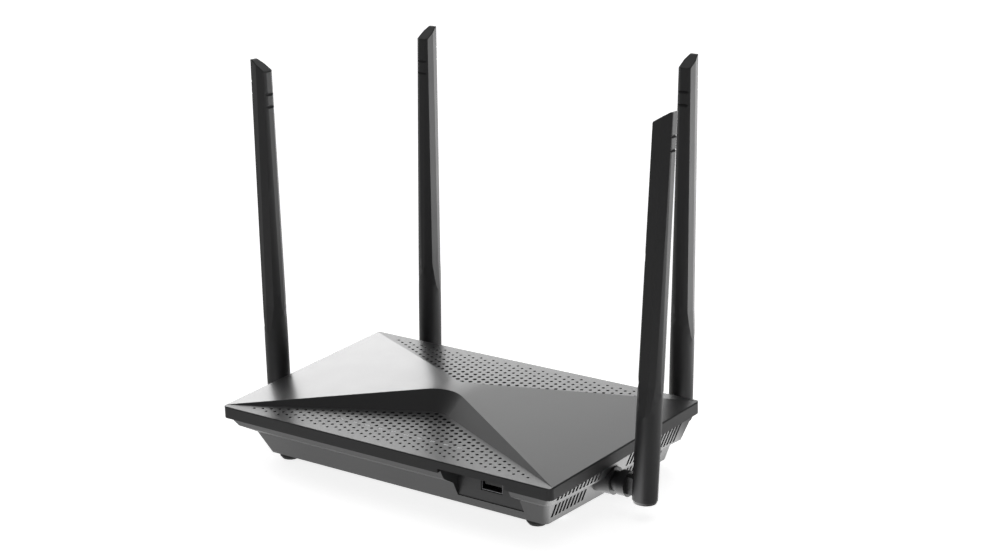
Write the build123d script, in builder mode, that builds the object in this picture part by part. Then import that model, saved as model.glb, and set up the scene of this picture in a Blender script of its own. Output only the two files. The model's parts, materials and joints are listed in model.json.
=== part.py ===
"""Wireless router with four hinged antennas.

Millimetres, +Z up, +X to the router's right as seen from the front, +Y to the back.
The origin lies on the desk, under the centre of the whole object with its antennas upright.
"""
from build123d import *
import math
import os

os.makedirs("parts", exist_ok=True)

# ---------------------------------------------------------------- housing, outside
BODY_DEPTH = 140.4
FRONT_WIDTH = 216.0
REAR_FLARE = 3.0
FRONT_EDGE_HEIGHT = 32.2
REAR_EDGE_HEIGHT = 39.6
BRIM_HEIGHT = 6.6
BRIM_CORNER = 3.5
BRIM_EDGE = 0.6

# ---------------------------------------------------------------- top cover
COVER_WALL = 2.2
COVER_ROOF = 2.0
WING_RISE = 10.6
RIDGE_RADIUS = 150.0
VALLEY_INSET = 2.6
VALLEY_APEX = 15.2
VALLEY_SLOPE = 44.0
FRONT_APEX_RADIUS = 18.0
REAR_APEX_RADIUS = 4.0

# ---------------------------------------------------------------- perforation
HOLE_PITCH = 8.6
ROW_PITCH = 2.13
FIRST_ROW_FROM_EDGE = 6.6
LAST_ROW_FROM_APEX = 3.5
HOLES_FROM_WALL = 7.0
SMALLEST_HOLE = 1.5
LARGEST_HOLE = 2.8
LIGHT_ROW = 6
LIGHT_COUNT = 10
LIGHT_LENGTH = 2.8
LIGHT_WIDTH = 1.2
LIGHT_GAP = 0.1
LIGHT_STEP = 4.8
GUIDE_BAR = 1.0
GUIDE_GAP = 0.2
LED_LENGTH = 1.6
LED_WIDTH = 0.8
LED_HEIGHT = 0.7

# ---------------------------------------------------------------- bottom case
CASE_WALL = 2.2
CASE_FLOOR = 2.0
RIM_GAP = 0.3
RIM_OVERLAP = 3.4
CASE_CORNER = 3.0
FOOT_HEIGHT = 3.2
BASE_SIDE_INSET = 15.7
BASE_FRONT_INSET = 20.3
BREAK_HEIGHT = 14.4
BREAK_SIDE_INSET = 11.0
BREAK_REAR_SIDE_INSET = 15.4
BREAK_FRONT_INSET = 13.7
LEDGE_HEIGHT = 18.7
LEDGE_SIDE_INSET = 4.5
LEDGE_REAR_SIDE_INSET = 8.9
LEDGE_FRONT_INSET = 5.8
LEDGE_TILT = -1.7
LEDGE_THICKENING = 1.2

# ---------------------------------------------------------------- side vents
SLOT_PITCH = 3.45
SLOT_WIDTH = 1.5
SLOTS_FROM_FRONT = 12.7
SLOTS_FROM_REAR = 10.7
SLOT_MARGIN = 1.2
SLOT_BOTTOM = 6.9
SLOT_CLEAR_OF_BOSS = 12.0

# ---------------------------------------------------------------- antennas
ANTENNA_LENGTH = 204.4
ROD_RADIUS = 6.7
ROD_TIP_RADIUS = 5.95
ROD_TOP = 36.0
BLADE_FOOT = 56.0
BLADE_FOOT_WIDTH = 13.0
BLADE_FOOT_THICKNESS = 10.4
BLADE_TIP_WIDTH = 11.3
BLADE_TIP_THICKNESS = 7.3
EDGE_ANGLE = 15.5
EDGE_FOOT = 5.45
EDGE_TIP = 3.63
PIVOT_ABOVE_END = 8.4
CHISEL_DROP = 7.2
CHISEL_EDGE = 0.4
SIDE_ANTENNA_Y = -5.8
SIDE_PIVOT_HEIGHT = 16.2
SIDE_MOUNT_INSET = 2.4
SIDE_LEAN = 2.0
REAR_MOUNT_INSET = 23.8
REAR_MOUNT_PROUD = 2.3
REAR_PIVOT_HEIGHT = 26.2
NOTCH_DEPTH = 0.7
NOTCH_HEIGHT = 1.8
NOTCH_PITCH = 7.0
NOTCH_BELOW_TIP = 12.0
RADIATOR_WIDTH = 7.4
RADIATOR_THICKNESS = 1.0
RADIATOR_LENGTH = 150.0
RADIATOR_GAP = 0.5
RADIATOR_START = 18.0
LEAD_DIAMETER = 1.8
LEAD_GAP = 0.6
ROD_END_ROUND = 2.4
TIP_FLAT = 1.2

# ---------------------------------------------------------------- antenna swivels
COLLAR_RADIUS = 6.8
COLLAR_LENGTH = 4.5
COLLAR_TO_PIVOT = 9.4
NECK_RADIUS = 5.4
NECK_LENGTH = 3.5
SPIGOT_RADIUS = 4.6
SPIGOT_LENGTH = 14.2
CATCH_RADIUS = 5.8
CATCH_LENGTH = 1.4
TURNING_GAP = 0.3
RUNNING_GAP = 0.05
TONGUE_RADIUS = 4.6
TONGUE_THICKNESS = 6.0
TONGUE_GAP = 0.3
HINGE_PIN_RADIUS = 1.5
HINGE_PIN_LENGTH = 12.0
BOSS_RADIUS = 7.4

# ---------------------------------------------------------------- front USB port
POCKET_SIDE_INSET = 27.5
POCKET_WIDTH = 41.5
POCKET_DEPTH = 18.2
POCKET_BOTTOM = 8.4
POCKET_WALL = 2.0
POCKET_RELIEF = 2.3
POCKET_CEILING = 0.8
USB_FROM_POCKET_SIDE = 20.5
USB_WIDTH = 13.2
USB_HEIGHT = 5.7
USB_DEPTH = 14.0
USB_SHEET = 0.4
USB_TONGUE_WIDTH = 10.6
USB_TONGUE_THICKNESS = 1.9
USB_PANEL_GAP = 0.2
USB_SET_BACK = 0.6
USB_CAVITY = 11.0
USB_TONGUE_RAISE = 1.0
USB_TONGUE_SET_BACK = 1.2

# ---------------------------------------------------------------- circuit board
BOARD_SIDE_GAP = 0.6
BOARD_FRONT_GAP = 0.6
BOARD_REAR_GAP = 1.9
BOARD_THICKNESS = 1.6
BOARD_TOP = 14.4
STANDOFF_SIDE_INSET = 10.0
STANDOFF_FRONT_INSET = 23.4
STANDOFF_REAR_INSET = 29.6
STANDOFF_RADIUS = 3.4
BOARD_SCREW_RADIUS = 1.3
BOARD_SCREW_HEAD_RADIUS = 2.6
BOARD_SCREW_HEAD_HEIGHT = 1.6
BOARD_SCREW_LENGTH = 5.5
PILOT_GAP = 0.08

# ---------------------------------------------------------------- parts on the board
PROCESSOR_X = 0.0
PROCESSOR_Y = -6.0
PROCESSOR_SIZE = 17.0
PROCESSOR_HEIGHT = 1.4
CHIP_HEIGHT = 1.2
MEMORY_X = 30.0
MEMORY_STEP = 14.0
MEMORY_LENGTH = 13.0
MEMORY_WIDTH = 8.0
SWITCH_CHIP_Y = 24.0
SWITCH_CHIP_SIZE = 14.0
TRANSFORMER_LENGTH = 11.0
TRANSFORMER_WIDTH = 6.5
TRANSFORMER_HEIGHT = 4.5
TRANSFORMER_GAP = 2.0
CAPACITOR_X = -60.0
CAPACITOR_Y = 20.0
CAPACITOR_PITCH = 9.0
CAPACITOR_COUNT = 3
CAPACITOR_RADIUS = 3.2
CAPACITOR_HEIGHT = 8.0
SHIELD_X = 52.0
SHIELD_Y = -16.0
SHIELD_LENGTH = 26.0
SHIELD_WIDTH = 30.0
SHIELD_HEIGHT = 3.2
SHIELD_SHEET = 0.4
SINK_SIZE = 32.0
SINK_PLATE = 1.8
FIN_COUNT = 7
FIN_THICKNESS = 1.2
FIN_HEIGHT = 7.0

# ---------------------------------------------------------------- case screws
COLUMN_SIDE_INSET = 3.9
COLUMN_FRONT_INSET = 40.2
COLUMN_REAR_INSET = 30.2
COLUMN_RADIUS = 3.8
COLUMN_TOP = 19.0
CASE_SCREW_RADIUS = 1.4
CASE_SCREW_HEAD_RADIUS = 2.7
CASE_SCREW_HEAD_HEIGHT = 1.8
CASE_SCREW_LENGTH = 24.0
SCREW_GAP = 0.2
HEAD_RECESS = 0.6

# ---------------------------------------------------------------- feet
FOOT_SIDE_INSET = 9.6
FOOT_FRONT_INSET = 26.5
FOOT_REAR_INSET = 18.2
FOOT_RADIUS = 5.7
FOOT_TREAD_RADIUS = 4.4
FOOT_PLUG_RADIUS = 3.6
FOOT_PLUG_HEIGHT = 0.8

# ---------------------------------------------------------------- rear connectors
JACK_HEIGHT = 13.4
JACK_DEPTH = 20.5
JACK_SET_BACK = 0.4
JACK_MOUTH_WIDTH = 11.8
JACK_MOUTH_HEIGHT = 7.8
JACK_MOUTH_DEPTH = 12.5
JACK_MOUTH_BOTTOM = 3.4
LATCH_WIDTH = 6.0
LATCH_DEPTH = 2.2
WAN_X = -36.0
WAN_WIDTH = 16.0
LAN_X = 8.0
LAN_PORTS = 4
LAN_PITCH = 14.0
LAN_SIDE = 1.2
PANEL_GAP = 0.35
INLET_X = -54.0
INLET_WIDTH = 9.0
INLET_HEIGHT = 11.0
INLET_DEPTH = 13.6
INLET_BORE_RADIUS = 3.1
INLET_BORE_DEPTH = 9.5
INLET_PIN_RADIUS = 1.0
INLET_PIN_LENGTH = 8.5

# ---------------------------------------------------------------- buttons
POWER_X = -68.0
POWER_RADIUS = 3.9
POWER_PROUD = 3.0
POWER_TRAVEL = 2.0
WPS_X = 49.0
WPS_RADIUS = 2.6
WPS_PROUD = 1.2
WPS_TRAVEL = 0.6
RESET_X = 60.0
RESET_RADIUS = 1.3
RESET_SUNK = 1.2
RESET_TRAVEL = 0.5
BUTTON_GAP = 0.3
BUTTON_FLANGE = 1.2
BUTTON_FLANGE_THICKNESS = 1.0
SWITCH_SIZE = 8.2
SWITCH_DEPTH = 9.0
SWITCH_STEM = 3.2
SWITCH_STEM_GAP = 0.3
SWITCH_BACK = 1.2
TACT_SIZE = 6.0
TACT_DEPTH = 4.0
BUTTON_HEIGHT_ABOVE_BOARD = 5.5
BUTTON_EDGE = 0.35
STEM_ENTRY = 1.6

# ---------------------------------------------------------------- derived places
HOUSING_FRONT = -BODY_DEPTH / 2
HOUSING_REAR = BODY_DEPTH / 2
REAR_WIDTH = FRONT_WIDTH + 2 * REAR_FLARE
COVER_TILT = math.degrees(math.atan2(REAR_EDGE_HEIGHT - FRONT_EDGE_HEIGHT, BODY_DEPTH))
COVER_HEIGHT = (FRONT_EDGE_HEIGHT + REAR_EDGE_HEIGHT) / 2
VALLEY_STEEPNESS = (HOUSING_REAR - VALLEY_INSET - VALLEY_APEX) / (FRONT_WIDTH / 2)
HOLE_ROWS = int((HOUSING_REAR - FIRST_ROW_FROM_EDGE - VALLEY_APEX - LAST_ROW_FROM_APEX) / ROW_PITCH) + 1

BASE_WIDTH = FRONT_WIDTH - 2 * BASE_SIDE_INSET
BASE_FRONT = HOUSING_FRONT + BASE_FRONT_INSET
BREAK_FRONT_WIDTH = FRONT_WIDTH - 2 * BREAK_SIDE_INSET
BREAK_REAR_WIDTH = REAR_WIDTH - 2 * BREAK_REAR_SIDE_INSET
BREAK_FRONT = HOUSING_FRONT + BREAK_FRONT_INSET
LEDGE_FRONT_WIDTH = FRONT_WIDTH - 2 * LEDGE_SIDE_INSET
LEDGE_REAR_WIDTH = REAR_WIDTH - 2 * LEDGE_REAR_SIDE_INSET
LEDGE_FRONT = HOUSING_FRONT + LEDGE_FRONT_INSET
CASE_REAR = HOUSING_REAR - COVER_WALL - RIM_GAP
SLOT_FIRST = HOUSING_FRONT + SLOTS_FROM_FRONT
SLOT_LAST = HOUSING_REAR - SLOTS_FROM_REAR

POCKET_RIGHT = FRONT_WIDTH / 2 - POCKET_SIDE_INSET
POCKET_LEFT = POCKET_RIGHT - POCKET_WIDTH
POCKET_BACK = HOUSING_FRONT + POCKET_DEPTH
USB_X = POCKET_RIGHT - USB_FROM_POCKET_SIDE

COLUMN_X = BASE_WIDTH / 2 - COLUMN_SIDE_INSET
COLUMN_FRONT = HOUSING_FRONT + COLUMN_FRONT_INSET
COLUMN_REAR = HOUSING_REAR - COLUMN_REAR_INSET
FOOT_X = BASE_WIDTH / 2 - FOOT_SIDE_INSET
FOOT_FRONT = HOUSING_FRONT + FOOT_FRONT_INSET
FOOT_REAR = HOUSING_REAR - FOOT_REAR_INSET

BOARD_WIDTH = 2 * (COLUMN_X - COLUMN_RADIUS - BOARD_SIDE_GAP)
BOARD_FRONT = POCKET_BACK + POCKET_WALL + BOARD_FRONT_GAP
BOARD_REAR = CASE_REAR - CASE_WALL - BOARD_REAR_GAP
BOARD_BOTTOM = BOARD_TOP - BOARD_THICKNESS
STANDOFF_X = BOARD_WIDTH / 2 - STANDOFF_SIDE_INSET
STANDOFF_FRONT = BOARD_FRONT + STANDOFF_FRONT_INSET
STANDOFF_REAR = BOARD_REAR - STANDOFF_REAR_INSET
BUTTON_Z = BOARD_TOP + BUTTON_HEIGHT_ABOVE_BOARD

ANTENNA_TIP = ANTENNA_LENGTH - PIVOT_ABOVE_END
MOUNT_FACE_TO_PIVOT = COLLAR_TO_PIVOT + COLLAR_LENGTH + NECK_LENGTH + TURNING_GAP
BORE_END_TO_PIVOT = COLLAR_TO_PIVOT + COLLAR_LENGTH + NECK_LENGTH + SPIGOT_LENGTH - TURNING_GAP
SIDE_ANTENNA_X = FRONT_WIDTH / 2 - SIDE_MOUNT_INSET + MOUNT_FACE_TO_PIVOT
REAR_ANTENNA_X = REAR_WIDTH / 2 - REAR_MOUNT_INSET
REAR_ANTENNA_Y = HOUSING_REAR + REAR_MOUNT_PROUD + MOUNT_FACE_TO_PIVOT
REAR_REACH = REAR_ANTENNA_Y + ROD_RADIUS
BODY_Y = (HOUSING_REAR - REAR_REACH) / 2


def level_plane(height):
    """A horizontal plane over the middle of the housing."""
    return Plane(origin=(0, BODY_Y, height))


def tilted_plane(height, rise):
    """A plane through the housing's middle that climbs to the back by `rise` degrees."""
    angle = math.radians(rise)
    return Plane(origin=(0, BODY_Y, height), x_dir=(1, 0, 0), z_dir=(0, -math.sin(angle), math.cos(angle)))


def facing_front(y):
    """An upright plane across the housing: sketch x is world X and sketch y is world Z."""
    return Plane(origin=(0, BODY_Y + y, 0), x_dir=(1, 0, 0), z_dir=(0, -1, 0))


def facing_side(x):
    """An upright plane along the housing: sketch x is world Y and sketch y is world Z."""
    return Plane(origin=(x, BODY_Y, 0), x_dir=(0, 1, 0), z_dir=(1, 0, 0))


def side_view(frame):
    """The upright plane of an antenna: sketch x points away from the housing, sketch y up."""
    return Plane(origin=frame.origin, x_dir=frame.x_dir, z_dir=-frame.y_dir)


def height_on(plane, y):
    """World height of a tilted plane at the distance `y` behind the housing's middle."""
    return plane.origin.Z - y * plane.z_dir.Y / plane.z_dir.Z


def save(piece, name):
    """Labels a finished piece and writes it."""
    piece.part.label = name
    export_step(piece.part, f"parts/{name}.step")


def outline(plane, front_width, rear_width, front, rear, corner, inset=0.0):
    """A trapezium with rounded corners, seen from above, moved in by `inset` all round."""
    shorten = plane.z_dir.Z
    with BuildSketch(plane) as shape:
        with BuildLine():
            Polyline(
                (-front_width / 2 + inset, (front + inset) / shorten),
                (front_width / 2 - inset, (front + inset) / shorten),
                (rear_width / 2 - inset, (rear - inset) / shorten),
                (-rear_width / 2 + inset, (rear - inset) / shorten),
                close=True,
            )
        make_face()
        fillet(shape.vertices(), max(corner - inset, 0.5))
    return shape.sketch


COVER_PLANE = tilted_plane(COVER_HEIGHT, COVER_TILT)
BRIM_PLANE = COVER_PLANE.offset(-BRIM_HEIGHT)
BREAK_PLANE = tilted_plane(BREAK_HEIGHT, LEDGE_TILT)
LEDGE_PLANE = tilted_plane(LEDGE_HEIGHT, LEDGE_TILT)


# ================================================================ places shared by several pieces
def mirrored(x, *rows):
    """Points at plus and minus `x` on each of the given rows."""
    return [(side * x, y) for side in (-1, 1) for y in rows]


COLUMNS = mirrored(COLUMN_X, COLUMN_FRONT, COLUMN_REAR)
STANDOFFS = mirrored(STANDOFF_X, STANDOFF_FRONT, STANDOFF_REAR)
FEET = mirrored(FOOT_X, FOOT_FRONT, FOOT_REAR)
LIGHTS_X = [(number - (LIGHT_COUNT - 1) / 2) * HOLE_PITCH for number in range(LIGHT_COUNT)]
LIGHTS_Y = HOUSING_FRONT + FIRST_ROW_FROM_EDGE + LIGHT_ROW * ROW_PITCH
LAN_CENTRES = [LAN_X + (number - (LAN_PORTS - 1) / 2) * LAN_PITCH for number in range(LAN_PORTS)]
LAN_WIDTH = LAN_PORTS * LAN_PITCH + 2 * LAN_SIDE
JACK_FACE = CASE_REAR - JACK_SET_BACK

# An antenna's mount frame: origin on the tilt axis, x away from the housing, z up.
MOUNTS = {
    "side_left": Plane(origin=(-SIDE_ANTENNA_X, BODY_Y + SIDE_ANTENNA_Y, SIDE_PIVOT_HEIGHT),
                       x_dir=(-1, 0, 0), z_dir=(0, 0, 1)),
    "side_right": Plane(origin=(SIDE_ANTENNA_X, BODY_Y + SIDE_ANTENNA_Y, SIDE_PIVOT_HEIGHT),
                        x_dir=(1, 0, 0), z_dir=(0, 0, 1)),
    "rear_left": Plane(origin=(-REAR_ANTENNA_X, BODY_Y + REAR_ANTENNA_Y, REAR_PIVOT_HEIGHT),
                       x_dir=(0, 1, 0), z_dir=(0, 0, 1)),
    "rear_right": Plane(origin=(REAR_ANTENNA_X, BODY_Y + REAR_ANTENNA_Y, REAR_PIVOT_HEIGHT),
                        x_dir=(0, 1, 0), z_dir=(0, 0, 1)),
}
LEANS = {"side_left": SIDE_LEAN, "side_right": SIDE_LEAN, "rear_left": 0.0, "rear_right": 0.0}
# the side of the antenna its hinge pin goes in from: the back, or the side that faces the other one
PIN_SIDES = {"side_left": 1, "side_right": -1, "rear_left": 1, "rear_right": -1}


def leaned(frame, degrees):
    """A mount frame turned about its tilt axis, so that its antenna leans away from the housing."""
    angle = math.radians(degrees)
    return Plane(
        origin=frame.origin,
        x_dir=frame.x_dir * math.cos(angle) - frame.z_dir * math.sin(angle),
        z_dir=frame.z_dir * math.cos(angle) + frame.x_dir * math.sin(angle),
    )


def mount_section(frame, from_pivot):
    """A plane square to the swivel axis, `from_pivot` towards the housing; sketch y is up."""
    origin = frame.from_local_coords(Vector(-from_pivot, 0, 0))
    return Plane(origin=origin, x_dir=frame.y_dir, z_dir=frame.x_dir)


# ================================================================ top cover
def wing_profile(y, width, roof):
    """Cross-section of the cover: a brim that rises in two slopes to a rounded ridge."""
    half = width / 2
    bottom = -BRIM_HEIGHT - roof
    across = Plane(
        origin=COVER_PLANE.from_local_coords(Vector(0, y, 0)), x_dir=(1, 0, 0), z_dir=-COVER_PLANE.y_dir
    )
    with BuildSketch(across) as profile:
        with BuildLine():
            Polyline(
                (-half, bottom), (-half, -roof - BRIM_EDGE), (-half + BRIM_EDGE, -roof),
                (0, WING_RISE - roof), (half - BRIM_EDGE, -roof), (half, -roof - BRIM_EDGE), (half, bottom),
                close=True,
            )
        make_face()
        fillet(profile.vertices().sort_by(Axis.Y)[-1], RIDGE_RADIUS)
    return profile.sketch


def valley(direction, apex_radius, roof):
    """The sunken triangle in front of (-1) or behind (+1) the bow tie, with its sloping walls."""
    lean = math.radians(VALLEY_SLOPE)
    foot_shift = roof * (1 - math.sin(lean)) / math.cos(lean)
    apex = VALLEY_APEX - foot_shift * math.hypot(1, VALLEY_STEEPNESS)
    reach = FRONT_WIDTH
    with BuildPart() as hollow:
        with BuildSketch(COVER_PLANE.offset(-roof)) as foot:
            with BuildLine():
                Polyline(
                    (0, direction * apex),
                    (reach, direction * (apex + VALLEY_STEEPNESS * reach)),
                    (-reach, direction * (apex + VALLEY_STEEPNESS * reach)),
                    close=True,
                )
            make_face()
            fillet(foot.vertices().sort_by(Axis.Y)[-1 if direction < 0 else 0], apex_radius + foot_shift)
        extrude(amount=2 * WING_RISE, taper=-VALLEY_SLOPE)
    return hollow.part


def cover_block(wall, roof):
    """The cover's outer form, or, with a wall and a roof, the space that hollows it."""
    below = BRIM_HEIGHT + roof
    sections = [wing_profile(HOUSING_FRONT, FRONT_WIDTH, roof), wing_profile(HOUSING_REAR, REAR_WIDTH, roof)]
    plan = outline(COVER_PLANE.offset(-below), FRONT_WIDTH, REAR_WIDTH, HOUSING_FRONT, HOUSING_REAR,
                   BRIM_CORNER, wall)
    valleys = [valley(-1, FRONT_APEX_RADIUS, roof), valley(1, REAR_APEX_RADIUS, roof)]
    with BuildPart() as block:
        loft(sections, ruled=True)
        extrude(plan, amount=below + WING_RISE, mode=Mode.INTERSECT)
        add(valleys, mode=Mode.SUBTRACT)
        # narrow bevels along the front and rear edges
        across = Plane(origin=COVER_PLANE.origin, x_dir=COVER_PLANE.y_dir, z_dir=COVER_PLANE.x_dir)
        with BuildSketch(across):
            for end in (-1, 1):
                with Locations((end * (HOUSING_REAR / COVER_PLANE.z_dir.Z - wall), -roof)):
                    Rectangle(BRIM_EDGE * math.sqrt(2), BRIM_EDGE * math.sqrt(2), rotation=45)
        extrude(amount=REAR_WIDTH, both=True, mode=Mode.SUBTRACT)
    return block.part


def row_columns(row):
    """How far each hole of a perforation row lies from the middle; the rows shorten to the apex."""
    from_middle = HOUSING_REAR - FIRST_ROW_FROM_EDGE - row * ROW_PITCH
    reach = (from_middle - VALLEY_APEX) / VALLEY_STEEPNESS - HOLES_FROM_WALL
    shift = HOLE_PITCH / 2 if (row - LIGHT_ROW) % 2 == 0 else 0
    steps = range(-int(FRONT_WIDTH / HOLE_PITCH), int(FRONT_WIDTH / HOLE_PITCH) + 1)
    return [shift + step * HOLE_PITCH for step in steps if abs(shift + step * HOLE_PITCH) <= reach]


def hole_places(direction, row):
    """The holes of one row in front of (-1) or behind (+1) the bow tie; the lamps take the place of some."""
    y = direction * (HOUSING_REAR - FIRST_ROW_FROM_EDGE - row * ROW_PITCH)
    lamps = LIGHTS_X[-1] + HOLE_PITCH / 2 if direction < 0 and row == LIGHT_ROW else -1
    return [(x, y) for x in row_columns(row) if abs(x) > lamps]


def pocket(grow, top):
    """The USB recess under the front brim, grown on its closed sides for the walls round it."""
    left, right = POCKET_LEFT - grow, POCKET_RIGHT + grow
    front, back = -BODY_DEPTH, POCKET_BACK + grow
    with BuildPart() as block:
        with BuildSketch(level_plane(POCKET_BOTTOM - grow)):
            with Locations(((left + right) / 2, (front + back) / 2)):
                Rectangle(right - left, back - front)
        extrude(amount=BODY_DEPTH)
        with BuildSketch(BRIM_PLANE.offset(top)):
            Rectangle(2 * BODY_DEPTH, 4 * BODY_DEPTH)
        extrude(amount=BODY_DEPTH, mode=Mode.SUBTRACT)
    return block.part


cover_outside = cover_block(0, 0)
cover_inside = cover_block(COVER_WALL, COVER_ROOF)
usb_recess = pocket(0, POCKET_RELIEF)

with BuildPart() as top_cover:
    add(cover_outside)
    add(cover_inside, mode=Mode.SUBTRACT)
    # screw bosses hang from the roof down to the columns of the case
    for x, y in COLUMNS:
        half_width = (FRONT_WIDTH + REAR_WIDTH) / 4
        roof = height_on(COVER_PLANE, y) + WING_RISE * (1 - COLUMN_X / half_width) - COVER_ROOF / 2
        with BuildSketch(level_plane(COLUMN_TOP)):
            with Locations((x, y)):
                Circle(COLUMN_RADIUS)
        extrude(amount=roof - COLUMN_TOP)
    with BuildSketch(level_plane(COLUMN_TOP)):
        with Locations(*COLUMNS):
            Circle(CASE_SCREW_RADIUS + PILOT_GAP)
    extrude(amount=CASE_SCREW_LENGTH / 2, mode=Mode.SUBTRACT)
    # the skirt clears the USB recess and the rear antenna bosses
    add(usb_recess, mode=Mode.SUBTRACT)
    for name in ("rear_left", "rear_right"):
        with BuildSketch(mount_section(MOUNTS[name], MOUNT_FACE_TO_PIVOT)):
            Circle(BOSS_RADIUS + RIM_GAP)
        extrude(amount=-(BORE_END_TO_PIVOT - MOUNT_FACE_TO_PIVOT), mode=Mode.SUBTRACT)
    # staggered holes that grow from the edge to the bow tie, with the light windows among them
    with BuildSketch(COVER_PLANE):
        for row in range(HOLE_ROWS):
            radius = (SMALLEST_HOLE + (LARGEST_HOLE - SMALLEST_HOLE) * row / (HOLE_ROWS - 1)) / 2
            with Locations(*(hole_places(-1, row) + hole_places(1, row))):
                RegularPolygon(radius, 4)
        with Locations(*[(x, LIGHTS_Y) for x in LIGHTS_X]):
            Rectangle(LIGHT_LENGTH + 2 * LIGHT_GAP, LIGHT_WIDTH + 2 * LIGHT_GAP)
    extrude(amount=-2 * COVER_ROOF, mode=Mode.SUBTRACT, clean=False)
save(top_cover, "top_cover")


# ================================================================ bottom case
def case_block(wall, floor, lift):
    """The tub's outer form, or, with a wall and a floor, the space that hollows it."""
    climbed = floor / (BREAK_HEIGHT - FOOT_HEIGHT)
    floor_width = BASE_WIDTH + climbed * (BREAK_FRONT_WIDTH - BASE_WIDTH)
    floor_front = BASE_FRONT + climbed * (BREAK_FRONT - BASE_FRONT)
    rim = COVER_WALL + RIM_GAP
    rim_shape = outline(BRIM_PLANE, FRONT_WIDTH, REAR_WIDTH, HOUSING_FRONT, HOUSING_REAR, BRIM_CORNER,
                        rim + wall)
    with BuildPart() as block:
        loft(
            [
                outline(level_plane(FOOT_HEIGHT + floor), floor_width, floor_width, floor_front, CASE_REAR,
                        CASE_CORNER, wall),
                outline(BREAK_PLANE.offset(lift), BREAK_FRONT_WIDTH, BREAK_REAR_WIDTH, BREAK_FRONT, CASE_REAR,
                        CASE_CORNER, wall),
                outline(LEDGE_PLANE.offset(lift), LEDGE_FRONT_WIDTH, LEDGE_REAR_WIDTH, LEDGE_FRONT, CASE_REAR,
                        CASE_CORNER, wall),
                rim_shape,
            ],
            ruled=True,
        )
        extrude(rim_shape, amount=RIM_OVERLAP + wall)
    return block.part


def slot_rows(y):
    """Bottom and top of the two vent slots at `y`: under the ledge and under the brim."""
    lower = (SLOT_BOTTOM, height_on(BREAK_PLANE, y) - SLOT_MARGIN)
    upper = (height_on(LEDGE_PLANE, y) + SLOT_MARGIN, height_on(BRIM_PLANE, y) - SLOT_MARGIN)
    return [upper] if y < BASE_FRONT else [lower, upper]


SLOT_PLACES = [
    SLOT_FIRST + number * SLOT_PITCH for number in range(int((SLOT_LAST - SLOT_FIRST) / SLOT_PITCH) + 1)
]

case_outside = case_block(0, 0, 0)
case_inside = case_block(CASE_WALL, CASE_FLOOR, LEDGE_THICKENING)
recess_block = pocket(POCKET_WALL, POCKET_RELIEF + POCKET_CEILING)

with BuildPart() as recess_walls:
    add(case_outside)
    add(recess_block, mode=Mode.INTERSECT)

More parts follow.
